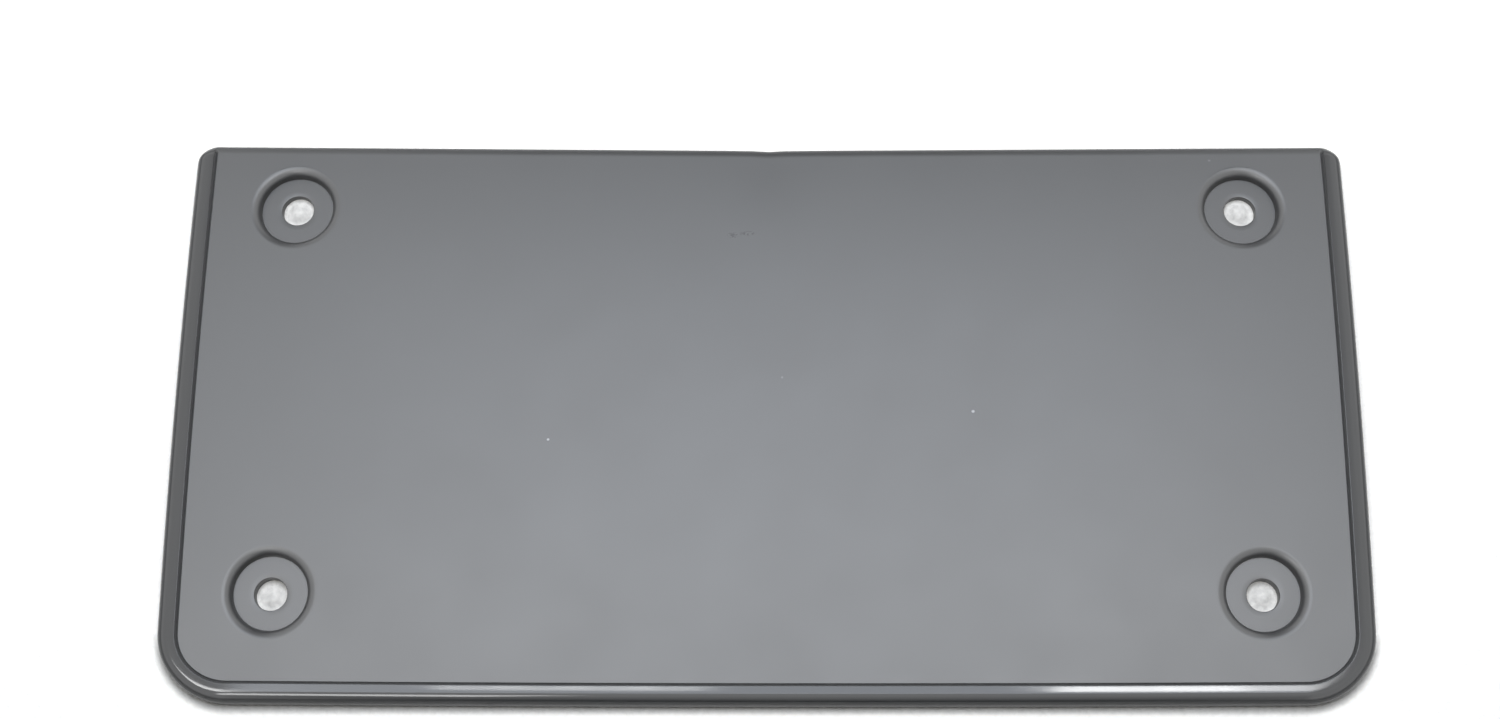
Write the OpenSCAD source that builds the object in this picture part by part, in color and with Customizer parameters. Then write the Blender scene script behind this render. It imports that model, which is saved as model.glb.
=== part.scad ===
// Number plate holder: one moulded shell that is screwed to a bumper and carries a plate on its face.
// It lies on its back: X runs across, Y runs up the plate, Z comes out of the face.
// The face is bowed about a level axis, so every edge is one section carried along a bowed spine.

/* [Plate seat] */
// Width of the plate that the seat takes
plate_w = 304.8; // [250:0.1:540]
// Room left at each side of the plate
plate_gap = 0.8; // [0.2:0.1:3]
// Height of the rim above the seat
rim_h = 0.9; // [0.4:0.1:2]
// Width of the rim, from the seat to the outside
rim_w = 5.6; // [4.5:0.1:12]
// Width of the sloped step down from the rim to the seat
step_run = 0.5; // [0.2:0.05:1]

/* [Holder] */
// Length from the bottom edge to the top edge
holder_l = 155.5; // [120:0.5:240]
// Height of the seat above the back at mid length
mid_h = 7.8; // [6.5:0.1:14]
// Radius of the bow of the face
bow_r = 880; // [600:10:4000]
// Outer radius of the two lower corners
corner_r = 19.2; // [14:0.1:40]
// Radius of the rounded outer edge
edge_r = 3; // [1.5:0.1:4]
// How far the middle of the top edge dips below its ends
top_dip = 1.1; // [0.2:0.1:4]

/* [Shell] */
// Thickness of the face
face_t = 2.4; // [1.5:0.1:3]
// Thickness of the side walls
wall_t = 2.4; // [1.5:0.1:4]
// Chamfer inside, between face and side wall
inner_chamfer = 0.8; // [0.2:0.1:2]

/* [Screw wells] */
// Distance of a well's axis from the side of the holder
well_side = 28.8; // [22:0.1:60]
// Distance of the upper wells' axes from the top end
well_top = 19.25; // [16:0.25:40]
// Distance of the lower wells' axes from the bottom end
well_bottom = 29.25; // [20:0.25:50]
// Diameter of a well's flat floor
well_d = 19.5; // [14:0.5:24]
// Depth of a well below the seat
well_depth = 3.2; // [2.5:0.1:4]
// Radius of the soft lip round a well
lip_r = 3; // [1:0.1:3.2]
// Draft of a well's wall, in degrees
well_draft = 8; // [2:1:15]
// Diameter of the screw hole
hole_d = 8.6; // [4:0.1:12]
// Wall round a well, at the back
boss_t = 2.5; // [1.5:0.1:5]

/* [Ribs] */
// Thickness of a rib
rib_t = 1.4; // [0.8:0.1:3]
// Gap between the ribs and the surface behind the holder
rib_gap = 0.8; // [0.2:0.1:2]
// Bays between the left and right wells
bays_x = 9; // [4:1:12]
// Bays between the lower and upper wells
bays_y = 4; // [2:1:6]

/* [Hidden] */
seat_w = plate_w + 2 * plate_gap;
holder_w = seat_w + 2 * rim_w;
top_corner_r = rim_w;
// Screw pattern: its two spans, and how far its middle lies above mid length
well_span_x = holder_w - 2 * well_side;
well_span_y = holder_l - well_top - well_bottom;
well_shift_y = (well_bottom - well_top) / 2;
// Deeper than any wall, because the back plane trims every wall at Z = 0
deep = 2 * mid_h;
over = 1;
// How far the body's pieces reach into each other, so that they join as one solid
seam_lap = 0.00002;
arc_step = 10;
spine_fn = 720;
round_fn = 72;

// Angle of the spine where a tangent end of length flat takes over from the bow
function seam_angle(flat) = asin(holder_l / 2 / norm([bow_r, flat])) - atan(flat / bow_r);
low_seam = -seam_angle(corner_r);
top_seam = seam_angle(top_corner_r);
lap_angle = atan(seam_lap / bow_r);

// Angle of the spine at distance y from mid length, on the bow
function bow_angle(y) = asin(y / bow_r);

// Points of an arc in whole steps, both ends included
function arc(centre, r, from, to) =
    let (n = max(1, ceil(abs(to - from) / arc_step)))
    [for (i = [0 : n]) let (a = from + (to - from) * i / n) centre + r * [cos(a), sin(a)]];

// An edge section lists points [distance in from the outside, height above the seat], foot first
rim_section = concat(
    [[0, -deep]],
    arc([edge_r, rim_h - edge_r], edge_r, 180, 90),
    [[rim_w - step_run, rim_h], [rim_w, 0]]);
plain_section = concat([[0, -deep]], arc([edge_r, -edge_r], edge_r, 180, 90));
hollow_section = [
    [wall_t, -deep - over],
    [wall_t, -face_t - inner_chamfer],
    [wall_t + inner_chamfer, -face_t]];

// Height of the top of a section, and of its foot
function crown(section) = section[len(section) - 1][1];
function foot(section) = section[0][1];

// Puts its children at angle a of the spine: Z out of the face, Y along it
module on_spine(a) {
    translate([0, 0, mid_h - bow_r])
        rotate([-a, 0, 0])
            translate([0, 0, bow_r])
                children();
}

// The full section across the holder, turned about the axis of the bow
module bowed_part(section) {
    left = [for (p = section) [bow_r + p[1], -holder_w / 2 + p[0]]];
    right = [for (p = section) [bow_r + p[1], holder_w / 2 - p[0]]];
    n = len(section);
    translate([0, 0, mid_h - bow_r])
        rotate([0, -90, 0])
            rotate([0, 0, low_seam - lap_angle])
                rotate_extrude(angle = top_seam - low_seam + 2 * lap_angle, $fn = spine_fn)
                    polygon(concat(left, [for (i = [n - 1 : -1 : 0]) right[i]]));
}

// A quarter turn of a section about a corner's centre
module corner_part(section, r, from) {
    ring = [for (p = section) [r - p[0], p[1]]];
    rotate([0, 0, from])
        rotate_extrude(angle = 90, $fn = round_fn)
            polygon(concat(ring, [[0, crown(section)], [0, foot(section)]]));
}

// The lower end: a straight run of the section between two rounded corners
module low_end(section) {
    half_run = holder_w / 2 - corner_r;
    run = [for (p = section) [p[0] - corner_r, p[1]]];
    on_spine(low_seam) {
        translate([-half_run, 0, 0])
            corner_part(section, corner_r, 180);
        translate([half_run, 0, 0])
            corner_part(section, corner_r, 270);
        translate([-half_run - seam_lap, 0, 0])
            rotate([90, 0, 90])
                linear_extrude(height = 2 * (half_run + seam_lap))
                    polygon(concat(run, [[0, crown(section)], [0, foot(section)]]));
    }
}

// Half of the top run, tilted so that the two halves meet in a shallow V
module top_run(section) {
    tilt = atan(top_dip / (seat_w / 2));
    run = [for (p = section) [top_corner_r - p[0], p[1]]];
    tall = crown(section) - foot(section);
    intersection() {
        translate([seat_w / 2, 0, 0])
            rotate([0, 0, tilt])
                translate([-seat_w, 0, 0])
                    rotate([90, 0, 90])
                        linear_extrude(height = 1.5 * seat_w)
                            polygon(concat(run, [[-rim_w, crown(section)], [-rim_w, foot(section)]]));
        translate([0, 0, foot(section) - over])
            cube([seat_w / 2 + seam_lap, 2 * top_corner_r, tall + 2 * over]);
    }
}

// The top end: the rim turns its corners, and between them the seat rolls over the edge
module top_end(corner_section, run_section) {
    on_spine(top_seam)
        for (side = [0, 1])
            mirror([side, 0, 0]) {
                translate([seat_w / 2, 0, 0])
                    corner_part(corner_section, top_corner_r, 0);
                top_run(run_section);
            }
}

module swept_body(section, run_section) {
    bowed_part(section);
    low_end(section);
    top_end(section, run_section);
}

// Puts its children at each well
module at_wells() {
    for (side = [-1, 1], end = [-1, 1])
        translate([side * well_span_x / 2, well_shift_y + end * well_span_y / 2, 0])
            children();
}

// A well's outline: flat floor, drafted wall and a soft lip that ends a little above the seat
module well_cutter() {
    lip_foot = -lip_r * (1 - sin(well_draft));
    lip_foot_r = well_d / 2 + (well_depth + lip_foot) * tan(well_draft);
    lip_centre = [lip_foot_r + lip_r * cos(well_draft), -lip_r];
    lip = arc(lip_centre, lip_r, 180 - well_draft, 90 + arc_step);
    last = lip[len(lip) - 1];
    rise = over - last[1];
    rotate_extrude($fn = round_fn)
        polygon(concat(
            [[0, -well_depth], [well_d / 2, -well_depth]],
            lip,
            [last + rise * [1 / tan(arc_step / 2), 1], [0, over]]));
}

module wells() {
    for (side = [-1, 1], end = [-1, 1]) {
        y = well_shift_y + end * well_span_y / 2;
        translate([side * well_span_x / 2, 0, 0])
            on_spine(bow_angle(y))
                well_cutter();
    }
    at_wells()
        translate([0, 0, -over])
            cylinder(h = mid_h + 2 * over, d = hole_d, $fn = round_fn);
}

// Solid pads under the wells, which seat on the surface behind the holder
module bosses() {
    at_wells()
        cylinder(h = mid_h, d = well_d + 2 * boss_t, $fn = round_fn);
}

// A grid of ribs lined up with the wells
module ribs() {
    bay_x = well_span_x / bays_x;
    bay_y = well_span_y / bays_y;
    for (i = [0 : bays_x])
        translate([i * bay_x - well_span_x / 2 - rib_t / 2, -holder_l / 2, rib_gap])
            cube([rib_t, holder_l, mid_h]);
    for (i = [0 : bays_y])
        translate([-holder_w / 2, well_shift_y + i * bay_y - well_span_y / 2 - rib_t / 2, rib_gap])
            cube([holder_w, rib_t, mid_h]);
}

module plate_holder() {
    color("dimgray")
        difference() {
            intersection() {
                swept_body(rim_section, plain_section);
                translate([-holder_w, -holder_l, 0])
                    cube([2 * holder_w, 2 * holder_l, 2 * mid_h]);
            }
            difference() {
                swept_body(hollow_section, hollow_section);
                bosses();
                ribs();
            }
            wells();
        }
}

plate_holder();
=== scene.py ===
"""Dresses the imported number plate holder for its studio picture.

The CAD solid is replaced by one closed mesh of the same form and size. Its front and its back are skins
over one plan grid: each is a height above the bowed seat, worked out with numpy. A lattice of ribs is then
joined to the back. The holder's lengths and the camera's are in millimetres until a mesh or the camera is
placed, and those of the lamps are in metres.
"""

import logging
import math
from dataclasses import dataclass, field
from enum import Enum

import bmesh
import bpy
import numpy as np
from mathutils import Matrix, Vector


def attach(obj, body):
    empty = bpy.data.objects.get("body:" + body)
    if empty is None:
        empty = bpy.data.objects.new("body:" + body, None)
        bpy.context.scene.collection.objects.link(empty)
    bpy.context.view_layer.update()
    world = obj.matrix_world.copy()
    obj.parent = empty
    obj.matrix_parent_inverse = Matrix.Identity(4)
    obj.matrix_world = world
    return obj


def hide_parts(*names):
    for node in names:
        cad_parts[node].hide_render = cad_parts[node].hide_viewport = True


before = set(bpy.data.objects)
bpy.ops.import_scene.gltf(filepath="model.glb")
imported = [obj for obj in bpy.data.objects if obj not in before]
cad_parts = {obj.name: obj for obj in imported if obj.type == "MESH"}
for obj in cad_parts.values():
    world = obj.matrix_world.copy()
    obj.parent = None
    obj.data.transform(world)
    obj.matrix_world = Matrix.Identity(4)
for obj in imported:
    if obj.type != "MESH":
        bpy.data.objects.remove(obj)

MM = 0.001
PIECE = "holder_shell"
NODE = "plate_holder"
BODY = "root"
SHARP_ANGLE = 35.0
UNIT = (0.0, 1.0)
LOG = logging.getLogger("plate_holder")
Pair = tuple[float, float]
Triple = tuple[float, float, float]
Array = np.ndarray
Socket = bpy.types.NodeSocket
Inputs = dict[str | int, Socket | float | tuple[float, ...]]


class Surface(Enum):
    """Which finish a face takes. The value is its material slot on the mesh."""

    SEAT = 0
    RIM = 1
    BACK = 2
    GROOVE = 3


def soft_step(t: Array) -> Array:
    """Returns 0 below t = 0, 1 above t = 1, and between them the cubic that leaves and arrives level."""
    t = np.clip(t, 0.0, 1.0)
    return t * t * (3.0 - 2.0 * t)


def joined(*runs: Array) -> Array:
    """Joins runs of samples end to end, leaving out the first sample of each run after the first."""
    return np.concatenate([runs[0]] + [run[1:] for run in runs[1:]])


def even(start: float, end: float, step: float) -> Array:
    """Returns even samples from start to end, at most step apart, both ends included."""
    count = max(1, math.ceil(abs(end - start) / step))
    return np.linspace(start, end, count + 1)


def placed(name: str, data: bpy.types.ID) -> bpy.types.Object:
    """Makes an object of a mesh, a lamp or a camera and links it to the scene."""
    item = bpy.data.objects.new(name, data)
    bpy.context.scene.collection.objects.link(item)
    return item


def ring_shares(count: int) -> Array:
    """Returns a column of shares from 0 to 1, closer together towards both ends."""
    return (1 - np.cos(np.linspace(0, math.pi, count)))[:, None] / 2


@dataclass(frozen=True)
class HolderSizes:
    """The driving sizes of the holder, in millimetres and degrees. All but lip_r are its CAD source's."""

    seat_w: float = 306.4
    rim_h: float = 0.9
    rim_w: float = 5.6
    step_run: float = 0.5
    holder_l: float = 155.5
    mid_h: float = 7.8
    bow_r: float = 880.0
    corner_r: float = 19.2
    edge_r: float = 3.0
    top_dip: float = 1.1
    face_t: float = 2.4
    wall_t: float = 2.4
    inner_chamfer: float = 0.8
    well_side: float = 28.8
    well_top: float = 19.25
    well_bottom: float = 29.25
    well_d: float = 19.5
    well_depth: float = 3.2
    lip_r: float = 2.5
    well_draft: float = 8.0
    hole_d: float = 8.6
    boss_t: float = 2.5
    rib_t: float = 1.4
    rib_gap: float = 0.8
    bays_x: int = 9
    bays_y: int = 4

    @property
    def half_w(self) -> float:
        """Half of the overall width."""
        return self.seat_w / 2 + self.rim_w

    @property
    def well_x(self) -> float:
        """Distance of a well's axis from the middle, across the holder."""
        return self.half_w - self.well_side

    def well_y(self, end: int) -> float:
        """Returns the height up the plate of the wells at the upper (1) or lower (-1) end."""
        if end > 0:
            return self.holder_l / 2 - self.well_top
        return self.well_bottom - self.holder_l / 2


class Spine:
    """The line up the middle of the seat: an arc that goes on straight at both ends."""

    def __init__(self, sizes: HolderSizes) -> None:
        """Works out the seams, where the arc turns straight, and the two ends.

        Args:
            sizes: the holder's driving sizes.
        """
        self.radius = sizes.bow_r
        self.crown = sizes.mid_h
        self.low_seam = -self._seam(sizes, sizes.corner_r)
        self.top_seam = self._seam(sizes, sizes.rim_w)
        self.low_end = self.low_seam - sizes.corner_r
        self.top_end = self.top_seam + sizes.rim_w

    @staticmethod
    def _seam(sizes: HolderSizes, flat: float) -> float:
        """Returns the arc length from mid length to the seam before a straight end of length flat."""
        half = sizes.holder_l / 2
        angle = math.asin(half / math.hypot(sizes.bow_r, flat)) - math.atan(flat / sizes.bow_r)
        return sizes.bow_r * angle

    def place(self, x: Array | float, s: Array, rise: Array | float) -> Array:
        """Places points by their plan position and their height above the seat.

        A point goes s along the spine and then rise along its normal. On the arc the spine has turned by
        s over the radius, and past a seam it keeps the seam's direction.

        Args:
            x: position across the holder.
            s: length along the spine from mid length.
            rise: height above the seat, along the spine's normal.

        Returns:
            An array of points with the three coordinates last.
        """
        past, sine, cosine = self._turn(s)
        y = (self.radius + rise) * sine + past * cosine
        z = self.crown - self.radius + (self.radius + rise) * cosine - past * sine
        return np.stack(np.broadcast_arrays(x, y, z), axis=-1)

    def foot(self, s: Array) -> Array:
        """Returns the rise, below the seat, at which the normal at s meets the back plane Z = 0."""
        return -self.place(0.0, s, 0.0)[..., 2] / self._turn(s)[2]

    def _turn(self, s: Array) -> tuple[Array, Array, Array]:
        """Returns how far s lies past a seam, and the sine and cosine of the spine's turn there."""
        bowed = np.clip(s, self.low_seam, self.top_seam)
        angle = bowed / self.radius
        return s - bowed, np.sin(angle), np.cos(angle)

    def length_at(self, y: Array, rise: float) -> Array:
        """Returns the arc length at which a point of that rise lies y up the plate."""
        return self.radius * np.arcsin(np.asarray(y) / (self.radius + rise))


@dataclass
class PlanPatch:
    """A grid of plan points with their depth in from the outline."""

    x: Array
    s: Array
    depth: Array | float


@dataclass
class EdgePath:
    """The right half of the outline in plan, from the middle of the top edge round to the bottom.

    Each sample is a point on the outline with its unit normal into the holder, so that a point at a depth
    in from the outline is the sample plus the depth times the normal.
    """

    x: Array
    s: Array
    in_x: Array
    in_s: Array

    def inset(self, depth: Array) -> PlanPatch:
        """Returns the grid inside the path, with one row for each depth in from the outline."""
        rows = depth[:, None]
        return PlanPatch(self.x + rows * self.in_x, self.s + rows * self.in_s, rows)


class PlanGrid:
    """Divides the right half of the plan into grids that share their border points.

    An edge band runs all round, inside the outline. A land band follows it down the side and along the
    bottom, up to the seat. A small corner grid fills the top corner between the bands and the seat. The
    seat itself is two rings of grid lines, each from a well out to its own quarter's border. Across the
    land, the samples are shares of the seat's margin, a fan of rays over the step, and shares of what is
    outside the step.
    """

    SEAT_MARGIN = 1.4
    BAND = 3.2
    FINE, MEDIUM, COARSE = 1.1, 3.0, 4.5
    FAR_X = 100.0
    CORNER_ROWS = 9
    MARGIN_SHARES = np.array([1.0, 0.6, 0.45, 0.36, 0.29, 0.22, 0.15, 0.08])
    STEP_FAN = np.radians(np.linspace(0.0, 12.0, 9))
    OUTSIDE_SHARES = np.array([0.04, 0.12, 0.3, 0.55, 0.8, 1.0])

    def __init__(self, sizes: HolderSizes, spine: Spine) -> None:
        """Works out the samples along the outline and across the land.

        Args:
            sizes: the holder's driving sizes.
            spine: the line up the middle of the seat.
        """
        self.sizes = sizes
        self.spine = spine
        self.groove_x = sizes.seat_w / 2
        self.seat_x = self.groove_x - self.SEAT_MARGIN
        self.small_r = sizes.rim_w - self.BAND
        self.step_end = self.small_r * math.sin(self.STEP_FAN[-1])
        self.top_centre = spine.top_end - sizes.rim_w
        self.low_centre = spine.low_end + sizes.corner_r
        self.mid = spine.length_at((sizes.well_y(1) + sizes.well_y(-1)) / 2, 0.0)
        self.land = self._land_samples()
        self.path, self.marks = self._outline()

    def _land_samples(self) -> Array:
        """Returns the samples across the land, as distances outwards from the groove line.

        Over the step they are the places where rays from the top corner's centre cross the band's inner
        arc, so that the step keeps its grid lines as it runs out over the top edge.
        """
        step = self.small_r * np.sin(self.STEP_FAN)
        outside = step[-1] + (self.small_r - step[-1]) * self.OUTSIDE_SHARES
        return np.concatenate([-self.SEAT_MARGIN * self.MARGIN_SHARES, step, outside])

    def _top_land(self) -> Array:
        """Returns the land samples along the top, drawn in so that they end on the arc's middle."""
        past = self.land - self.step_end
        reach = self.small_r * math.sin(math.pi / 4) - self.step_end
        drawn = self.step_end + past * reach / (self.small_r - self.step_end)
        return np.where(past > 0, drawn, self.land)

    def _outline(self) -> tuple[EdgePath, dict[str, int]]:
        """Samples the right half of the outline.

        Returns:
            The path, and the index of the sample at which each stretch starts.
        """
        sizes, spine = self.sizes, self.spine
        far = even(0.0, self.FAR_X, self.COARSE)
        near = even(self.FAR_X, self.seat_x, self.FINE)
        top_land = self._top_land()
        run_x = np.concatenate([joined(far, near), self.groove_x + top_land[top_land < 0][1:]])
        fan = np.arcsin(top_land[top_land >= 0] / self.small_r)
        fan = joined(fan, np.linspace(math.pi / 4, math.pi / 2, self.CORNER_ROWS))
        upper = even(self.top_centre, self.mid, self.FINE)
        side = joined(upper, even(self.mid, self.low_centre, self.FINE))[1:]
        turn = even(0.0, math.pi / 2, self.FINE / sizes.corner_r)[1:]
        low_x = self.groove_x + sizes.rim_w - sizes.corner_r
        low = joined(even(low_x, self.FAR_X, self.FINE), even(self.FAR_X, 0.0, self.COARSE))[1:]
        x = np.concatenate([
            run_x,
            self.groove_x + sizes.rim_w * np.sin(fan),
            np.full(side.size, sizes.half_w),
            low_x + sizes.corner_r * np.cos(turn),
            low,
        ])
        s = np.concatenate([
            np.full(run_x.size, spine.top_end),
            self.top_centre + sizes.rim_w * np.cos(fan),
            side,
            self.low_centre - sizes.corner_r * np.sin(turn),
            np.full(low.size, spine.low_end),
        ])
        in_x = np.concatenate([0 * run_x, -np.sin(fan), 0 * side - 1, -np.cos(turn), 0 * low])
        in_s = np.concatenate([0 * run_x - 1, -np.cos(fan), 0 * side, np.sin(turn), 0 * low + 1])
        side_start = run_x.size + fan.size - 1
        marks = {
            "patch": far.size + near.size - 2,
            "side": side_start,
            "mid": side_start + upper.size - 1,
        }
        return EdgePath(x, s, in_x, in_s), marks

    def land_band(self) -> PlanPatch:
        """Returns the grid from the edge band in to the seat, down the side and along the bottom."""
        start = self.marks["side"]
        path = self.path
        part = EdgePath(path.x[start:], path.s[start:], path.in_x[start:], path.in_s[start:])
        return part.inset(self.sizes.rim_w - self.land[::-1])

    def corner(self) -> PlanPatch:
        """Returns the grid in the top corner, between the bands and the seat.

        It is ruled from the land band's end up to the top edge band, and its outer side is then pushed
        out onto the arc, by a share that grows from nothing at the step to the whole at the arc.
        """
        land, top_land = self.land, self._top_land()
        up = np.linspace(0.0, 1.0, self.CORNER_ROWS)[:, None]
        top_s = self.top_centre + np.where(
            top_land > 0,
            np.sqrt(np.maximum(self.small_r**2 - top_land**2, 0.0)),
            self.small_r,
        )
        x = (1 - up) * land + up * top_land
        s = (1 - up) * self.top_centre + up * top_s
        share = soft_step((land - self.step_end) / (self.small_r - self.step_end))
        angle = np.linspace(math.pi / 2, math.pi / 4, self.CORNER_ROWS)[:, None]
        x = x + share * (self.small_r * np.sin(angle) - x[:, -1:])
        s = s + share * (self.top_centre + self.small_r * np.cos(angle) - s[:, -1:])
        return PlanPatch(self.groove_x + x, s, self.BAND)

    def quarter(self, end: int) -> tuple[Array, Array]:
        """Returns the border of a quarter of the seat, anticlockwise and closed.

        Args:
            end: 1 for the upper quarter, -1 for the lower one.

        Returns:
            The plan positions x and s, the first point again at the end.
        """
        path, marks = self.path, self.marks
        across = even(0.0, self.seat_x, self.MEDIUM)
        if end > 0:
            side = path.s[marks["side"]:marks["mid"] + 1][::-1]
            corner = self.top_centre + np.linspace(0.0, 1.0, self.CORNER_ROWS) * self.small_r
            top_x = path.x[:marks["patch"] + 1][::-1]
            top_s = self.spine.top_end - self.BAND
            centre = even(top_s, self.mid, self.COARSE)
            x = joined(across, 0 * side + self.seat_x, 0 * corner + self.seat_x, top_x, 0 * centre)
            s = joined(0 * across + self.mid, side, corner, 0 * top_x + top_s, centre)
            return x, s
        seat_depth = self.sizes.rim_w + self.SEAT_MARGIN
        rest_x = (path.x + seat_depth * path.in_x)[marks["mid"]:][::-1]
        rest_s = (path.s + seat_depth * path.in_s)[marks["mid"]:][::-1]
        centre = even(self.mid, self.spine.low_end + seat_depth, self.COARSE)
        x = joined(0 * centre, rest_x, across[::-1])
        s = joined(centre, rest_s, 0 * across + self.mid)
        return x, s


@dataclass
class MeshParts:
    """Collects grids of points and turns them into one welded mesh."""

    points: list[Array] = field(default_factory=list)
    faces: list[Array] = field(default_factory=list)
    surfaces: list[Array] = field(default_factory=list)
    count: int = 0

    def add(self, grid: Array, surface: Array | Surface) -> None:
        """Adds a grid of quads, and its mirror image across X = 0.

        Seen from its outer side, rows go up and columns go to the right. The mirror image has its corners
        in the other order, so that it also faces outwards.

        Args:
            grid: the points, as rows by columns by three.
            surface: the finish of all faces, or a slot number for each face.
        """
        rows, columns = grid.shape[:2]
        index = np.arange(rows * columns).reshape(rows, columns)
        a, b = index[:-1, :-1].ravel(), index[:-1, 1:].ravel()
        c, d = index[1:, 1:].ravel(), index[1:, :-1].ravel()
        quads = np.stack([a, b, c, d], axis=1)
        slots = surface.value if isinstance(surface, Surface) else np.asarray(surface).ravel()
        slots = np.broadcast_to(slots, (quads.shape[0],))
        flat = grid.reshape(-1, 3)
        for side, order in ((1, [0, 1, 2, 3]), (-1, [3, 2, 1, 0])):
            self.points.append(flat * [side, 1, 1])
            self.faces.append(quads[:, order] + self.count)
            self.surfaces.append(slots)
            self.count += flat.shape[0]

    def build(self, name: str, weld: float) -> bpy.types.Object:
        """Makes the mesh, welds what touches and returns its object.

        Args:
            name: the object's name.
            weld: the distance within which points are one, in millimetres.

        Returns:
            The new object, at the origin.
        """
        points = np.concatenate(self.points) * MM
        faces = np.concatenate(self.faces)
        mesh = bpy.data.meshes.new(name)
        mesh.vertices.add(len(points))
        mesh.vertices.foreach_set("co", points.astype(np.float32).ravel())
        mesh.loops.add(faces.size)
        mesh.loops.foreach_set("vertex_index", faces.astype(np.int32).ravel())
        mesh.polygons.add(len(faces))
        mesh.polygons.foreach_set("loop_start", np.arange(0, faces.size, 4, dtype=np.int32))
        mesh.polygons.foreach_set("material_index", np.concatenate(self.surfaces).astype(np.int32))
        mesh.update(calc_edges=True)
        welded = bmesh.new()
        welded.from_mesh(mesh)
        bmesh.ops.remove_doubles(welded, verts=welded.verts, dist=weld * MM)
        bmesh.ops.dissolve_degenerate(welded, edges=welded.edges, dist=weld * MM)
        open_edges = sum(1 for edge in welded.edges if not edge.is_manifold)
        welded.to_mesh(mesh)
        welded.free()
        LOG.info("%s: %d faces, %d open edges", name, len(mesh.polygons), open_edges)
        return placed(name, mesh)


@dataclass
class Quarter:
    """A quarter of the seat: its border, and the directions from its well's axis to the border's points."""

    well_y: float
    well_s: float
    border_x: Array
    border_s: Array
    cosine: Array
    sine: Array


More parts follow.
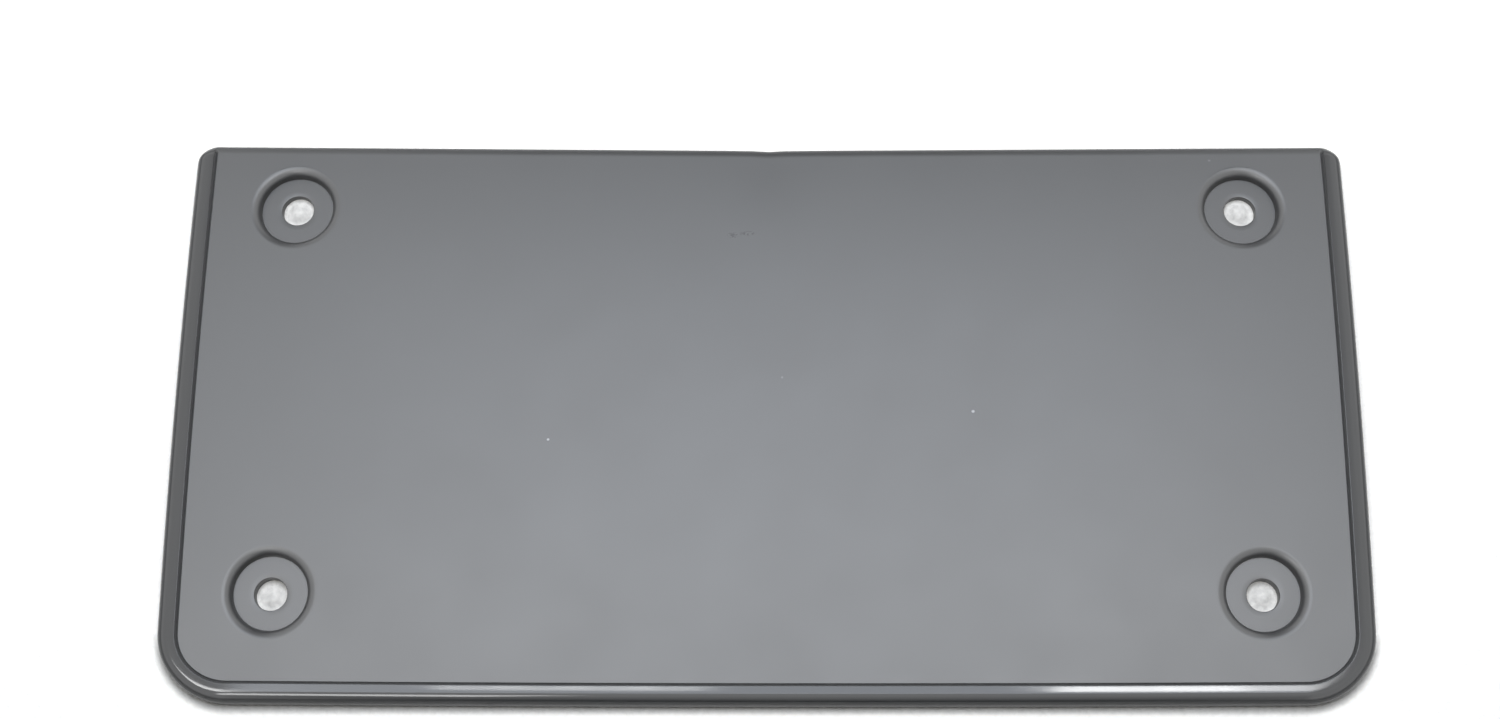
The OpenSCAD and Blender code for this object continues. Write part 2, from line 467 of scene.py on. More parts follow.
@dataclass
class HolderShell:
    """The moulded shell without its ribs: front skin, side walls, wells, holes, hollow and pads."""

    sizes: HolderSizes
    spine: Spine
    plan: PlanGrid
    ring_count: int = 20
    back_ring_count: int = 9
    roll_count: int = 14
    lip_count: int = 12
    break_count: int = 4
    floor_count: int = 5
    weld: float = 0.002
    warp_share: float = 0.25
    hole_break: float = 0.25
    channel_w: float = 0.28
    channel_depth: float = 0.35
    dark_from: float = -0.24
    dark_to: float = 0.45
    crown_depth: float = 4.4
    crown_inner: float = 0.015
    crown_outer: float = 0.6
    run_out_from: float = 4.2
    run_out_length: float = 3.4
    low_bow: float = 0.5
    bow_from: float = 15.5
    bow_full: float = 6.0
    dip_blunt: float = 0.04
    dip_fade: float = 18.0
    notch_dip: float = 0.22
    notch_half_w: float = 4.0
    dent_depth: float = 0.22
    dent_half_w: float = 9.0
    dent_length: float = 34.0

    def groove_distance(self, x: Array, s: Array) -> Array:
        """Returns the distance outwards from the groove line, negative over the seat.

        The line is a rectangle with two rounded lower corners that stays open at the top. The distance to
        it is that to the box of its corner centres, less the radius.
        """
        radius = self.sizes.corner_r - self.sizes.rim_w
        across = np.abs(x) - (self.plan.groove_x - radius)
        down = self.plan.low_centre - s
        outside = np.hypot(np.maximum(across, 0), np.maximum(down, 0))
        return outside + np.minimum(np.maximum(across, down), 0) - radius

    def front_rise(self, x: Array, s: Array, depth: Array | float) -> Array:
        """Returns the height of the front over the seat.

        A narrow channel runs along the foot of the step, and from its floor a soft ramp rises over the
        step to the rim. Both run out before the top edge. To this comes the drop of the rounded edge,
        which is a quarter circle over the first edge_r in from the outline.
        """
        sizes = self.sizes
        out = self.groove_distance(x, s)
        ramp = np.clip(out / sizes.step_run, 0, 1)
        ramp = (ramp + soft_step(ramp)) / 2
        sunk = np.clip(1 + out / self.channel_w, 0, 1)
        run_out = 1 - soft_step((s - self.spine.top_end + self.run_out_from) / self.run_out_length)
        step = ramp * (sizes.rim_h + self.channel_depth) - sunk * self.channel_depth
        reach = np.maximum(sizes.edge_r - depth, 0)
        roll = np.sqrt(np.maximum(sizes.edge_r**2 - reach**2, 0)) - sizes.edge_r
        return run_out * step + roll + self.crown(out) + self.dent(x, s)

    def crown(self, out: Array) -> Array:
        """Returns how far the rim's convex top falls away on both sides of its crown.

        Args:
            out: distance outwards from the groove line.

        Returns:
            Nothing over the seat, and over the rim a drop by the cube of the distance from the crown.
        """
        inner_w = self.sizes.rim_w - self.crown_depth
        inner = np.clip(1 - out / inner_w, 0, 1)
        outer = np.clip((out - inner_w) / self.crown_depth, 0, 1)
        lift = soft_step(out / self.sizes.step_run)
        return -lift * self.crown_inner * inner**3 - self.crown_outer * outer**3

    def dent(self, x: Array, s: Array) -> Array:
        """Returns the shallow dent below the notch: a bell across, fading out down the seat."""
        fade = soft_step(1 - (self.spine.top_end - s) / self.dent_length)
        return -self.dent_depth * np.exp(-((x / self.dent_half_w) ** 2)) * fade**2

    def warped(self, x: Array, s: Array) -> Array:
        """Returns s with the top edge's shallow V, its small notch and the bottom edge's slight bow.

        The V is deepest in the middle, where it is a little blunt, and gone at the rim. The bow draws the
        lower corners up, by the square of the distance from the middle. Both fade out away from their edge.
        """
        reach = np.abs(x) / self.plan.groove_x
        blunt = self.dip_blunt**2
        dip = self.sizes.top_dip * np.clip(1 - np.sqrt(reach**2 + blunt) + blunt / 2, 0, 1)
        notch = self.notch_dip * np.clip(1 - np.abs(x) / self.notch_half_w, 0, 1)
        band = self.sizes.edge_r
        below = self.spine.top_end - band - s
        top = soft_step(1 - below / self.dip_fade)
        sharp = soft_step(1 - below / band)
        corner_x = self.sizes.half_w - self.sizes.corner_r
        bow = self.low_bow * np.clip(np.abs(x) / corner_x, 0, 1) ** 2
        low = soft_step((self.spine.low_end + self.bow_from - s) / (self.bow_from - self.bow_full))
        return s - dip * top - notch * sharp + bow * low

    def at_rise(self, x: Array, s: Array, rise: Array | float) -> Array:
        """Places plan points at a height, after the plan is warped."""
        return self.spine.place(x, self.warped(x, s), rise)

    def at_foot(self, x: Array, s: Array) -> Array:
        """Places plan points on the back plane, straight below the edge they belong to."""
        s = self.warped(x, s)
        points = self.spine.place(x, s, self.spine.foot(s))
        points[..., 2] = 0.0
        return points

    def front(self, patch: PlanPatch) -> Array:
        """Places the points of the front over a patch of the plan."""
        return self.at_rise(patch.x, patch.s, self.front_rise(patch.x, patch.s, patch.depth))

    def add_front(self, parts: MeshParts) -> None:
        """Adds the front skin down to the foot of the outer wall."""
        sizes, plan = self.sizes, self.plan
        roll = np.linspace(0, math.pi / 2, self.roll_count)
        band = plan.path.inset(np.append(sizes.edge_r * (1 - np.cos(roll)), plan.BAND))
        body = self.front(band)
        foot = self.at_foot(band.x[:1], band.s[:1])
        grid = np.concatenate([foot, (foot + body[:1]) / 2, body])
        out = self.groove_distance(band.x[-1], band.s[-1])
        on_rim = (out[:-1] + out[1:]) / 2 > sizes.step_run / 2
        slots = np.where(on_rim, Surface.RIM.value, Surface.SEAT.value)
        parts.add(grid[:, ::-1], np.tile(slots[::-1], (grid.shape[0] - 1, 1)))
        land, corner = plan.land_band(), plan.corner()
        parts.add(self.front(land)[:, ::-1], self.slots_of(land)[:, ::-1])
        parts.add(self.front(corner), self.slots_of(corner))
        for end in (-1, 1):
            self.add_quarter(parts, end)

    def slots_of(self, patch: PlanPatch) -> Array:
        """Returns the slot number of each face of a patch: seat, groove or rim by the distance outwards."""
        out = self.groove_distance(patch.x, patch.s)
        middle = (out[:-1, :-1] + out[1:, 1:]) / 2
        level = (patch.s[:-1, :-1] + patch.s[1:, 1:]) / 2
        slots = np.where(middle > self.sizes.step_run / 2, Surface.RIM.value, Surface.SEAT.value)
        dark = (middle > self.dark_from) & (middle < self.dark_to)
        dark &= level < self.spine.top_end - self.run_out_from + self.run_out_length / 2
        return np.where(dark, Surface.GROOVE.value, slots)

    def well_profile(self) -> tuple[Array, Array]:
        """Returns the section of a well, as radius and height, from the hole's wall out to the seat.

        The hole's edge is broken by a small arc, the floor is flat, and the drafted wall turns into a
        quarter round that ends level with the seat.
        """
        sizes = self.sizes
        draft = math.radians(sizes.well_draft)
        floor_r, hole_r, broken = sizes.well_d / 2, sizes.hole_d / 2, self.hole_break
        turn = np.linspace(0, math.pi / 2, self.break_count)
        hole_edge = (hole_r + broken * (1 - np.cos(turn)), -sizes.well_depth - broken * (1 - np.sin(turn)))
        floor = np.linspace(hole_r + broken, floor_r, self.floor_count)[1:]
        lip_foot = -sizes.lip_r * (1 - math.sin(draft))
        foot_r = floor_r + (sizes.well_depth + lip_foot) * math.tan(draft)
        sweep = np.linspace(draft, math.pi / 2, self.lip_count)
        lip_r = foot_r + sizes.lip_r * (math.cos(draft) - np.cos(sweep))
        lip_h = -sizes.lip_r * (1 - np.sin(sweep))
        radius = np.concatenate([hole_edge[0], floor, lip_r])
        rise = np.concatenate([hole_edge[1], 0 * floor - sizes.well_depth, lip_h])
        return radius, rise

    def quarter(self, end: int) -> Quarter:
        """Returns the upper (1) or lower (-1) quarter of the seat."""
        border_x, border_s = self.plan.quarter(end)
        well_y = self.sizes.well_y(end)
        well_s = float(self.spine.length_at(well_y, 0.0))
        angle = np.arctan2(border_s - well_s, border_x - self.sizes.well_x)
        return Quarter(well_y, well_s, border_x, border_s, np.cos(angle), np.sin(angle))

    def add_quarter(self, parts: MeshParts, end: int) -> None:
        """Adds a quarter of the seat with its well and the wall of its screw hole.

        Rings grow from the well's lip to the quarter's border: each ring point lies on the straight line
        from the lip to the border point in the same direction, at a cosine-spaced share of the way.

        Args:
            parts: the mesh that is being collected.
            end: 1 for the upper quarter, -1 for the lower one.
        """
        sizes, spine = self.sizes, self.spine
        area, well_x = self.quarter(end), sizes.well_x
        radius, rise = self.well_profile()
        hole_r, floor_r = sizes.hole_d / 2, sizes.well_d / 2
        lean = float(spine.length_at(area.well_y, rise[0])) - area.well_s
        shift = lean * np.clip(1 - (radius - hole_r) / (floor_r - hole_r), 0, 1)[:, None]
        r = radius[:, None]
        well = spine.place(well_x + r * area.cosine, area.well_s + shift + r * area.sine, rise[:, None])
        share = ring_shares(self.ring_count)[1:]
        x = (1 - share) * (well_x + radius[-1] * area.cosine) + share * area.border_x
        s = (1 - share) * (area.well_s + radius[-1] * area.sine) + share * area.border_s
        seat = self.front(PlanPatch(x, s, self.plan.BAND))
        grid = np.concatenate([self.back_ring(area, hole_r)[None], well, seat])
        parts.add(grid[:, ::-1], Surface.SEAT)

    def back_ring(self, area: Quarter, radius: float) -> Array:
        """Returns a ring about a quarter's screw hole on the back plane."""
        x = self.sizes.well_x + radius * area.cosine
        return np.stack([x, area.well_y + radius * area.sine, 0 * x], axis=-1)

    def add_back(self, parts: MeshParts) -> None:
        """Adds the inner side of the wall, the underside of the face and the pads under the wells."""
        sizes, plan, spine = self.sizes, self.plan, self.spine
        wall, chamfer = sizes.wall_t, sizes.inner_chamfer
        band = plan.path.inset(np.array([0.0, wall, wall, wall + chamfer]))
        foot = self.at_foot(band.x[:1], band.s[:1])
        inner_foot = self.at_foot(band.x[1:2], band.s[1:2])
        upper = self.at_rise(band.x[2:3], band.s[2:3], -sizes.face_t - chamfer)
        under = self.at_rise(band.x[3:4], band.s[3:4], -sizes.face_t)
        parts.add(np.concatenate([foot, inner_foot, upper, under]), Surface.BACK)
        for patch, turned in ((plan.land_band(), False), (plan.corner(), True)):
            grid = self.at_rise(patch.x, patch.s, -sizes.face_t)
            parts.add(grid[:, ::-1] if turned else grid, Surface.BACK)
        share = ring_shares(self.back_ring_count)
        fade = np.clip(share / self.warp_share, 0, 1)
        for end in (-1, 1):
            area = self.quarter(end)
            pad = self.back_ring(area, sizes.well_d / 2 + sizes.boss_t)
            pad_s = spine.length_at(pad[:, 1], -sizes.face_t)
            x = (1 - share) * pad[:, 0] + share * area.border_x
            s = (1 - share) * pad_s + share * area.border_s
            s = s + fade * (self.warped(x, s) - s)
            under = spine.place(x, s, -sizes.face_t)
            hole = self.back_ring(area, sizes.hole_d / 2)
            parts.add(np.concatenate([hole[None], pad[None], under]), Surface.BACK)

    def build(self) -> bpy.types.Object:
        """Builds the closed shell and returns its object."""
        parts = MeshParts()
        self.add_front(parts)
        self.add_back(parts)
        return parts.build(PIECE, self.weld)


@dataclass
class RibLattice:
    """The crossing ribs behind the face, as one closed lattice that reaches into the face and the walls."""

    sizes: HolderSizes
    spine: Spine
    side_reach: float = 1.2
    top_reach: float = 2.3
    low_reach: float = 1.6
    pad_clear: float = 11.3
    face_reach: float = 1.2

    def lines(self, ends: Pair, pads: Pair, bays: int) -> tuple[Array, ...]:
        """Works out the lattice's grid lines along one axis.

        Args:
            ends: where the lattice starts and ends.
            pads: the axes of the pads, which are also those of the outer ribs between them.
            bays: how many bays lie between those two ribs.

        Returns:
            The grid lines, and which of the intervals between them lie in a rib and which in a pad.
        """
        half, clear = self.sizes.rib_t / 2, self.pad_clear
        ribs, axes = np.linspace(*pads, bays + 1), np.array(pads)
        lines = np.sort(np.concatenate([ends, ribs - half, ribs + half, axes - clear, axes + clear]))
        middle = (lines[:-1, None] + lines[1:, None]) / 2
        return lines, np.abs(middle - ribs).min(axis=1) < half, np.abs(middle - axes).min(axis=1) < clear

    def build(self) -> bpy.types.Object:
        """Builds the lattice from the cells of its grid that are ribs.

        A cell is solid where its interval across or its interval up is a rib, apart from the squares
        inside the pads. Each solid cell has a lower and an upper face, and a wall towards each neighbour
        that is empty.

        Returns:
            The lattice's object.
        """
        sizes = self.sizes
        end_x, end_y = sizes.half_w - self.side_reach, sizes.holder_l / 2
        x, in_x, near_x = self.lines((-end_x, end_x), (-sizes.well_x, sizes.well_x), sizes.bays_x)
        ends_y = (self.low_reach - end_y, end_y - self.top_reach)
        y, in_y, near_y = self.lines(ends_y, (sizes.well_y(-1), sizes.well_y(1)), sizes.bays_y)
        solid = (in_x[:, None] | in_y) & ~(near_x[:, None] & near_y)
        padded = np.pad(solid, 1)
        s = self.spine.length_at(y, 0.0)
        top_z = self.spine.place(0.0, s, -self.face_reach)[:, 2]
        low = np.stack(np.broadcast_arrays(x[:, None], y[None, :], sizes.rib_gap), axis=-1)
        high = np.stack(np.broadcast_arrays(x[:, None], y[None, :], top_z[None, :]), axis=-1)
        points = np.concatenate([low.reshape(-1, 3), high.reshape(-1, 3)]) * MM
        index = np.arange(x.size * y.size).reshape(x.size, y.size)
        lift = x.size * y.size
        a, b = index[:-1, :-1], index[1:, :-1]
        c, d = index[1:, 1:], index[:-1, 1:]
        walls = (
            (a, b, padded[1:-1, :-2]),
            (b, c, padded[2:, 1:-1]),
            (c, d, padded[1:-1, 2:]),
            (d, a, padded[:-2, 1:-1]),
        )
        faces = [np.stack([a, d, c, b], axis=-1)[solid], np.stack([a, b, c, d], axis=-1)[solid] + lift]
        for start, stop, neighbour in walls:
            wall = np.stack([start, stop, stop + lift, start + lift], axis=-1)
            faces.append(wall[solid & ~neighbour])
        quads = np.concatenate(faces)
        used, compact = np.unique(quads, return_inverse=True)
        mesh = bpy.data.meshes.new("rib_lattice")
        mesh.from_pydata(points[used].tolist(), [], compact.reshape(quads.shape).tolist())
        mesh.polygons.foreach_set("material_index", np.full(len(quads), Surface.BACK.value, np.int32))
        mesh.update()
        return placed("rib_lattice", mesh)


def union(shell: bpy.types.Object, lattice: bpy.types.Object) -> None:
    """Joins the lattice to the shell with an exact boolean and removes the lattice's own object."""
    before = len(shell.data.polygons)
    modifier = shell.modifiers.new("ribs", "BOOLEAN")
    modifier.operation = "UNION"
    modifier.solver = "EXACT"
    modifier.object = lattice
    graph = bpy.context.evaluated_depsgraph_get()
    mesh = bpy.data.meshes.new_from_object(shell.evaluated_get(graph))
    shell.modifiers.clear()
    shell.data = mesh
    bpy.data.objects.remove(lattice)
    LOG.info("ribs joined: %d faces, %d before", len(mesh.polygons), before)


class Shading:
    """Adds nodes to one node tree, fills their inputs and hands back their results."""

    def __init__(self, tree: bpy.types.NodeTree) -> None:
        """Takes the tree of a material or of the world."""
        self.tree = tree

    def fill(self, node: bpy.types.Node, inputs: Inputs) -> None:
        """Links each input to the socket that it is given, or sets it to the constant."""
        for name, value in inputs.items():
            if isinstance(value, Socket):
                self.tree.links.new(value, node.inputs[name])
            else:
                node.inputs[name].default_value = value

    def add(self, kind: str, inputs: Inputs, operation: str = "") -> bpy.types.Node:
        """Adds a node of a kind, with its operation where it has one, and fills its inputs."""
        node = self.tree.nodes.new("ShaderNode" + kind)
        if operation:
            node.operation = operation
        self.fill(node, inputs)
        return node

    def place(self, space: str) -> Socket:
        """Returns the place of the shaded point in that space."""
        return self.add("TexCoord", {}).outputs[space]

    def math(self, operation: str, *values: Socket | float) -> Socket:
        """Returns the result of a math operation on sockets or numbers."""
        return self.add("Math", dict(enumerate(values)), operation).outputs["Value"]

    def ramp(self, value: Socket, span: Pair, result: Pair, smooth: bool = False) -> Socket:
        """Carries a value's span over to the result's span, held at both ends.

        Args:
            value: the value that is carried over.
            span: where the value starts and ends.
            result: what it becomes there.
            smooth: whether it leaves and arrives level.

        Returns:
            The result's socket.
        """
        limits = zip(("From Min", "From Max", "To Min", "To Max"), (*span, *result))
        node = self.add("MapRange", {"Value": value, **dict(limits)})
        if smooth:
            node.interpolation_type = "SMOOTHSTEP"
        return node.outputs["Result"]

    def noise(self, point: Socket, scale: float, detail: float) -> Socket:
        """Returns soft noise with about that many waves to the metre."""
        return self.add("TexNoise", {"Vector": point, "Scale": scale, "Detail": detail}).outputs["Fac"]

    def lit(self, colour: Triple, light: Socket) -> Socket:
        """Returns a plain colour multiplied by a light."""
        return self.add("VectorMath", {0: colour, "Scale": light}, "SCALE").outputs["Vector"]

    def bump(self, height: Socket, depth: float) -> Socket:
        """Returns the normal of a bump of that depth, in millimetres."""
        return self.add("Bump", {"Height": height, "Distance": depth * MM}).outputs["Normal"]


@dataclass(frozen=True)
class Scuff:
    """A mark on the seat, in millimetres: light, or dark below nothing. A broken one is a scribble."""

    place: Pair
    half: Pair
    light: float
    broken: bool = False
    core: float = 0.35
    stroke: float = 0.6
    stroke_detail: float = 1.0
    stroke_edge: Pair = (0.5, 0.6)

    def mask(self, nodes: Shading, point: Socket) -> Socket:
        """Returns the light that the mark adds: full in its middle, none outside its oval."""
        (x, y), (half_x, half_y) = self.place, self.half
        centred = nodes.add("Mapping", {
            "Vector": point,
            "Location": (-x / half_x, -y / half_y, 0.0),
            "Scale": (1 / (half_x * MM), 1 / (half_y * MM), 0.0),
        })
        reach = nodes.add("VectorMath", {0: centred.outputs["Vector"]}, "LENGTH")
        light = nodes.ramp(reach.outputs["Value"], (1.0, self.core), (0.0, self.light))
        if not self.broken:
            return light
        strokes = nodes.noise(point, 1 / (self.stroke * MM), self.stroke_detail)
        return nodes.math("MULTIPLY", light, nodes.ramp(strokes, self.stroke_edge, UNIT))


@dataclass(frozen=True)
class PlasticFinish:
    """One finish of the moulded grey plastic."""

    name: str
    grey: float
    roughness: float
    roughness_spread: float
    grain_size: float
    grain_depth: float
    specular: float = 0.5
    scuffs: tuple[Scuff, ...] = ()
    grain_detail: float = 2.0
    mottle_scale: float = 55.0
    mottle_detail: float = 3.0
    tint: Pair = (0.96, 1.04)

    def material(self) -> bpy.types.Material:
        """Makes the node material: plain grey with a fine moulded grain and an uneven sheen."""
        material = bpy.data.materials.new(self.name)
        material.use_nodes = True
        nodes = Shading(material.node_tree)
        point = nodes.place("Object")
        mottle = nodes.noise(point, self.mottle_scale, self.mottle_detail)
        light = nodes.ramp(mottle, UNIT, self.tint)
        for scuff in self.scuffs:
            light = nodes.math("ADD", light, scuff.mask(nodes, point))
        sheen = (self.roughness - self.roughness_spread, self.roughness + self.roughness_spread)
        grain = nodes.noise(point, 1 / (self.grain_size * MM), self.grain_detail)
        nodes.fill(material.node_tree.nodes["Principled BSDF"], {
            "Specular IOR Level": self.specular,
            "Base Color": nodes.lit((self.grey,) * 3, light),
            "Roughness": nodes.ramp(mottle, UNIT, sheen),
            "Normal": nodes.bump(grain, self.grain_depth),
        })
        return material


SCUFFS = (
    Scuff((-9.6, 50.1), (2.4, 1.0), -0.9, True),
    Scuff((-5.6, 50.7), (2.6, 0.9), -0.9, True),
    Scuff((54.8, 0.0), (0.55, 0.5), 8.0),
    Scuff((-58.2, -7.8), (0.45, 0.4), 8.0),
    Scuff((3.9, 9.4), (0.4, 0.4), 1.2),
    Scuff((122.0, 72.7), (0.5, 0.4), 1.2),
)
FINISHES = {
    Surface.SEAT: PlasticFinish("grained_plastic", 0.047, 0.39, 0.045, 0.3, 0.008, 0.495, SCUFFS),
    Surface.RIM: PlasticFinish("smooth_plastic", 0.042, 0.07, 0.02, 0.9, 0.0004, 0.32),
    Surface.BACK: PlasticFinish("plain_plastic", 0.06, 0.4, 0.04, 0.5, 0.006),
    Surface.GROOVE: PlasticFinish("shaded_plastic", 0.06, 0.5, 0.04, 0.5, 0.006),
}


@dataclass
class Softbox:
    """A rectangular lamp, in metres, given by the radiance of its face. Without a target it faces down."""

    name: str
    centre: Triple
    width: float
    depth: float
    radiance: float
    gloss_only: bool = True
    colour: Triple = (1.0, 1.0, 1.0)
    target: Triple | None = None

    def build(self) -> None:
        """Makes the lamp. Its power is the radiance times its area times pi."""
        data = bpy.data.lights.new(self.name, "AREA")
        data.shape = "RECTANGLE"
        data.size = self.width
        data.size_y = self.depth
        data.energy = self.radiance * self.width * self.depth * math.pi
        data.color = self.colour
        lamp = placed(self.name, data)
        target = self.target or (self.centre[0], self.centre[1], 0.0)
        turn = (Vector(target) - Vector(self.centre)).to_track_quat("-Z", "Y")
        lamp.matrix_world = Matrix.Translation(self.centre) @ turn.to_matrix().to_4x4()
        lamp.visible_diffuse = not self.gloss_only


# Where the small lamps hang, across the holder, whose glints show along the bottom rim
GLINT_X = (-0.2113, -0.166, -0.1193, -0.076, 0.187, 0.2393, 0.276, 0.306)
LAMPS = (
    Softbox("key_softbox", (-0.01, 0.25, 1.2), 0.82, 0.85, 7.1, False, (0.945, 1.0, 1.09)),
    Softbox("left_strip", (-0.147, -0.06, 1.0), 0.18, 0.03, 9.0),
    Softbox("right_strip", (0.245, -0.07, 1.0), 0.13, 0.05, 27.0),
    Softbox("far_strip", (0.335, -0.07, 1.0), 0.06, 0.05, 13.0),
    Softbox("corner_box", (-0.5, -0.18, 1.2), 0.15, 0.17, 20.0),
    Softbox("front_strip", (-0.345, -0.7, 1.0), 0.3, 0.4, 13.0, target=(-0.15, 0.0, 0.0)),
    *(Softbox("spot_lamp", (x, -0.056, 1.0), 0.012, 0.015, 220.0) for x in GLINT_X),
)


@dataclass
class PhotoCamera:
    """The photograph's camera. It turns the holder's frame by roll, pitch and yaw and then shifts it."""

    focal_px: float = 2363.28
    pitch: float = -0.313137
    yaw: float = -0.002252
    roll: float = -0.001486
    shift_x: float = -6.7893
    shift_y: float = -34.9486
    distance: float = 637.162
    centre_px: Pair = (792.94, 289.57)
    image_h: int = 720
    image_w: int = 1500
    sensor_w: float = 36.0
    clip_start: float = 0.01

    def build(self) -> None:
        """Makes the camera and sets it as the scene's."""
        turn = (
            Matrix.Rotation(self.roll, 3, "Z")
            @ Matrix.Rotation(self.pitch, 3, "X")
            @ Matrix.Rotation(self.yaw, 3, "Y")
        )
        back = turn.transposed()
        place = back @ Vector((-self.shift_x, -self.shift_y, self.distance)) * MM
        data = bpy.data.cameras.new("photo_camera")
        data.sensor_width = self.sensor_w
        data.lens = self.focal_px * self.sensor_w / self.image_w
        data.shift_x = (self.image_w / 2 - self.centre_px[0]) / self.image_w
        data.shift_y = (self.centre_px[1] - self.image_h / 2) / self.image_w
        data.clip_start = self.clip_start
        camera = placed("photo_camera", data)
        camera.matrix_world = Matrix.Translation(place) @ back.to_4x4()
        bpy.context.scene.camera = camera


@dataclass
class ClothFloor:
    """The white cloth under the holder: level, matt and slightly fleecy. Reach and drop are in metres."""

    sizes: HolderSizes
    reach: float = 3.0
    drop: float = 0.0001
    bounce: float = 0.8
    white: float = 1.15
    tint: Triple = (1.04, 1.0, 0.93)
    mottle: float = 0.3
    open_mottle: float = 0.35
    fleece_size: float = 1.6
    fleece_depth: float = 0.35
    fleece_detail: float = 4.0
    # shade is the level of the painted shade in the cloth's colour under the holder, and shade_half gives
    # the half sizes of that box in millimetres
    shade: float = 0.82
    shade_half: Pair = (145.0, 68.0)
    # The painted shadow on the cloth outside the lower edge and corners: its darkest level, its reach, its
    # half length and where it fades in down the cloth, in millimetres
    edge_shade: float = 0.48
    edge_reach: float = 2.7
    edge_half_l: float = 77.6
    edge_from: float = -58.0
    edge_full: float = -72.0
    bulge: float = 1.7
    bulge_radius: float = 4.1
    bulge_eye: float = 0.02
    bulge_rings: int = 10
    bulge_sides: int = 48

    def bulges(self) -> tuple[Array, Array]:
        """Works out the soft mounds of cloth in the screw holes.

        A mound's height at a share t of its radius is the bulge times the square of the cosine of t
        times a quarter turn, so it is level in its middle and at its foot.

        Returns:
            The points, in metres, and the quads as indices into them.
        """
        sizes = self.sizes
        share, angle = np.meshgrid(
            np.linspace(self.bulge_eye, 1.0, self.bulge_rings),
            np.linspace(0.0, 2 * math.pi, self.bulge_sides, endpoint=False),
            indexing="ij",
        )
        rise = self.bulge * np.cos(share * math.pi / 2) ** 2 - self.drop / MM
        across, up = self.bulge_radius * share * np.cos(angle), self.bulge_radius * share * np.sin(angle)
        mounds = [
            np.stack([side * sizes.well_x + across, sizes.well_y(end) + up, rise], axis=-1)
            for side in (-1, 1)
            for end in (-1, 1)
        ]
        index = np.arange(share.size).reshape(share.shape)
        turned = np.roll(index, -1, axis=1)
        quads = np.stack([index[:-1], index[1:], turned[1:], turned[:-1]], axis=-1).reshape(-1, 4)
        points = np.concatenate([mound.reshape(-1, 3) for mound in mounds]) * MM
        return points, np.concatenate([quads + share.size * k for k in range(len(mounds))])

    def build(self) -> None:
        """Lays the cloth."""
        mesh = bpy.data.meshes.new("cloth_floor")
        turns = ((-1, -1), (1, -1), (1, 1), (-1, 1))
        corners = [(x * self.reach, y * self.reach, -self.drop) for x, y in turns]
        points, quads = self.bulges()
        mesh.from_pydata(corners + points.tolist(), [], [(0, 1, 2, 3)] + (quads + len(corners)).tolist())
        mesh.polygons.foreach_set("use_smooth", np.ones(len(mesh.polygons), bool))
        mesh.materials.append(self.material())
        floor = placed("cloth_floor", mesh)

    def material(self) -> bpy.types.Material:
        """Makes the cloth's material.

        Camera, glossy and transmission rays see it a little over white, so that it clips to plain white
        and still keeps the holder's shadow. All other rays see the grey that the lamps bounce from. In
        the middle, under the holder, its colour is darkened as a painted shade, which is seen through the
        screw holes. Outside the lower edge and corners, a painted shadow darkens its colour softly.

        Returns:
            The new material.
        """
        material = bpy.data.materials.new("white_cloth")
        material.use_nodes = True
        nodes = Shading(material.node_tree)
        point = nodes.place("Object")
        fleece = nodes.noise(point, 1 / (self.fleece_size * MM), self.fleece_detail)
        axes = nodes.add("SeparateXYZ", {"Vector": point})
        # Painted shade: the cloth's colour is darkened inside the box under the holder
        inside = [
            nodes.math("LESS_THAN", nodes.math("ABSOLUTE", axes.outputs[name]), half * MM)
            for name, half in zip("XY", self.shade_half)
        ]
        under = nodes.math("MULTIPLY", *inside)
        shade = nodes.ramp(under, UNIT, (self.white, self.shade))
        mottle = nodes.ramp(fleece, UNIT, (-self.mottle, self.mottle))
        # The cloth's colour times the painted shade under the holder and the painted shadow outside its
        # lower edge
        lit = nodes.math("MULTIPLY", shade, self.painted_edge_shadow(nodes, axes))
        share = nodes.ramp(under, UNIT, (self.open_mottle, 1.0))
        seen = nodes.math("ADD", lit, nodes.math("MULTIPLY", mottle, share))
        rays = nodes.add("LightPath", {})
        sight = nodes.math("MAXIMUM", rays.outputs["Is Camera Ray"], rays.outputs["Is Glossy Ray"])
        sight = nodes.math("MAXIMUM", sight, rays.outputs["Is Transmission Ray"])
        level = nodes.add("Mix", {"Factor": sight, "A": self.bounce, "B": seen})
        nodes.fill(material.node_tree.nodes["Principled BSDF"], {
            "Roughness": 1.0,
            "Specular IOR Level": 0.0,
            "Base Color": nodes.lit(self.tint, level.outputs["Result"]),
            "Normal": nodes.bump(fleece, self.fleece_depth),
        })
        return material

    def painted_edge_shadow(self, nodes: Shading, axes: bpy.types.Node) -> Socket:
        """Works out the painted shadow: the cloth's colour darkened softly outside the lower edge and
        corners.

        Args:
            nodes: the material's nodes.
            axes: the node that gives the place on the cloth as X, Y and Z.

        Returns:
            The share of the cloth's brightness that is left.
        """
        radius = self.sizes.corner_r
        squares = []
        for name, half in (("X", self.sizes.half_w), ("Y", self.edge_half_l)):
            across = nodes.math("ABSOLUTE", axes.outputs[name])
            past = nodes.math("SUBTRACT", across, (half - radius) * MM)
            squares.append(nodes.math("POWER", nodes.math("MAXIMUM", past, 0.0), 2.0))
        distance = nodes.math("SQRT", nodes.math("ADD", *squares))
        span = (radius * MM, (radius + self.edge_reach) * MM)
        light = nodes.ramp(distance, span, (self.edge_shade, 1.0), smooth=True)
        low = nodes.ramp(axes.outputs["Y"], (self.edge_from * MM, self.edge_full * MM), (1.0, 0.0))
        return nodes.math("MAXIMUM", light, low)


@dataclass(frozen=True)
class Glow:
    """A brightening of the surroundings, over a span of a ray's rise and one of its turn to a side."""

    level: float
    rise: Pair
    turn: Pair

    def light(self, nodes: Shading, up: Socket, across: Socket) -> Socket:
        """Returns the glow that a ray sees, by its upward part and its part across."""
        risen = nodes.ramp(up, self.rise, (0.0, self.level))
        return nodes.math("MULTIPLY", risen, nodes.ramp(across, self.turn, UNIT))


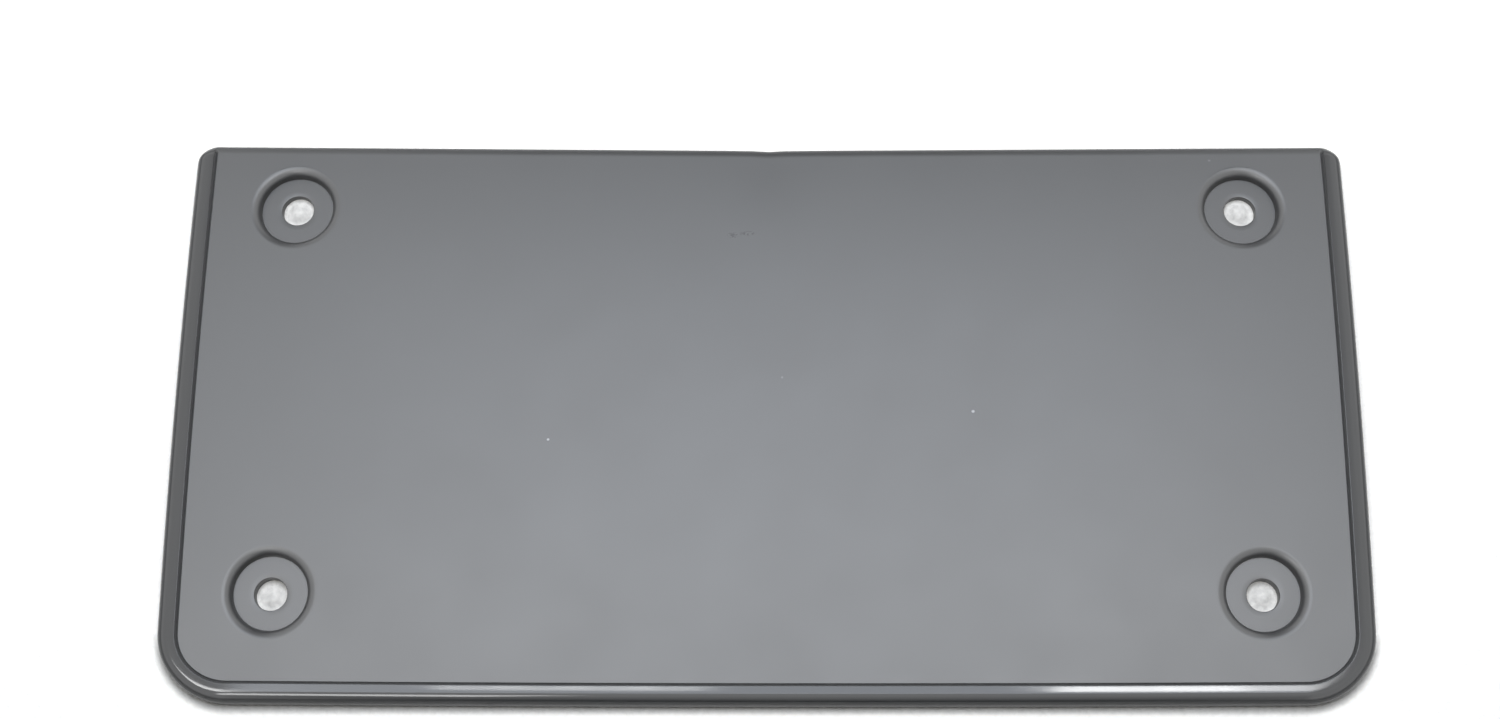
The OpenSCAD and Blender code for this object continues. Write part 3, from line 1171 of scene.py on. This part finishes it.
@dataclass
class Studio:
    """The lamps and the surroundings."""

    world_level: float = 0.1
    front: Glow = Glow(3.7, (0.12, 0.95), (-0.03, -0.12))
    side: Glow = Glow(3.3, (-0.05, 0.3), (0.13, 0.26))

    def world(self) -> None:
        """Sets dim even surroundings, which the camera sees as white.

        Glossy rays that run towards the front or a side see them brighten from the horizon up, as a
        bright room does, so that the rim's gloss fades out evenly round its roll.
        """
        world = bpy.data.worlds.new("studio")
        world.use_nodes = True
        nodes = Shading(world.node_tree)
        rays = nodes.add("LightPath", {})
        axes = nodes.add("SeparateXYZ", {"Vector": nodes.place("Generated")})
        front = self.front.light(nodes, axes.outputs["Z"], axes.outputs["Y"])
        side = self.side.light(nodes, axes.outputs["Z"], nodes.math("ABSOLUTE", axes.outputs["X"]))
        glow = nodes.math("MULTIPLY", nodes.math("MAXIMUM", front, side), rays.outputs["Is Glossy Ray"])
        level = nodes.math("ADD", glow, self.world_level)
        seen = nodes.math("MAXIMUM", level, rays.outputs["Is Camera Ray"])
        white = (1.0, 1.0, 1.0, 1.0)
        nodes.fill(world.node_tree.nodes["Background"], {"Color": white, "Strength": seen})
        bpy.context.scene.world = world

    def build(self) -> None:
        """Builds the surroundings and the lamps."""
        self.world()
        for lamp in LAMPS:
            lamp.build()


def main() -> None:
    """Builds the holder's skin, its materials, the studio and the camera."""
    logging.basicConfig(level=logging.INFO, format="%(name)s: %(message)s")
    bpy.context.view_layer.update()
    sizes = HolderSizes()
    spine = Spine(sizes)
    plan = PlanGrid(sizes, spine)
    shell = HolderShell(sizes, spine, plan).build()
    lattice = RibLattice(sizes, spine).build()
    for surface in Surface:
        material = FINISHES[surface].material()
        for piece in (shell, lattice):
            piece.data.materials.append(material)
    union(shell, lattice)
    shell.data.polygons.foreach_set("use_smooth", np.ones(len(shell.data.polygons), bool))
    shell.data.set_sharp_from_angle(angle=math.radians(SHARP_ANGLE))
    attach(shell, BODY)
    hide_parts(NODE)
    ClothFloor(sizes).build()
    Studio().build()
    PhotoCamera().build()
    bpy.context.scene.view_settings.view_transform = "Standard"


if __name__ == "__main__":
    main()
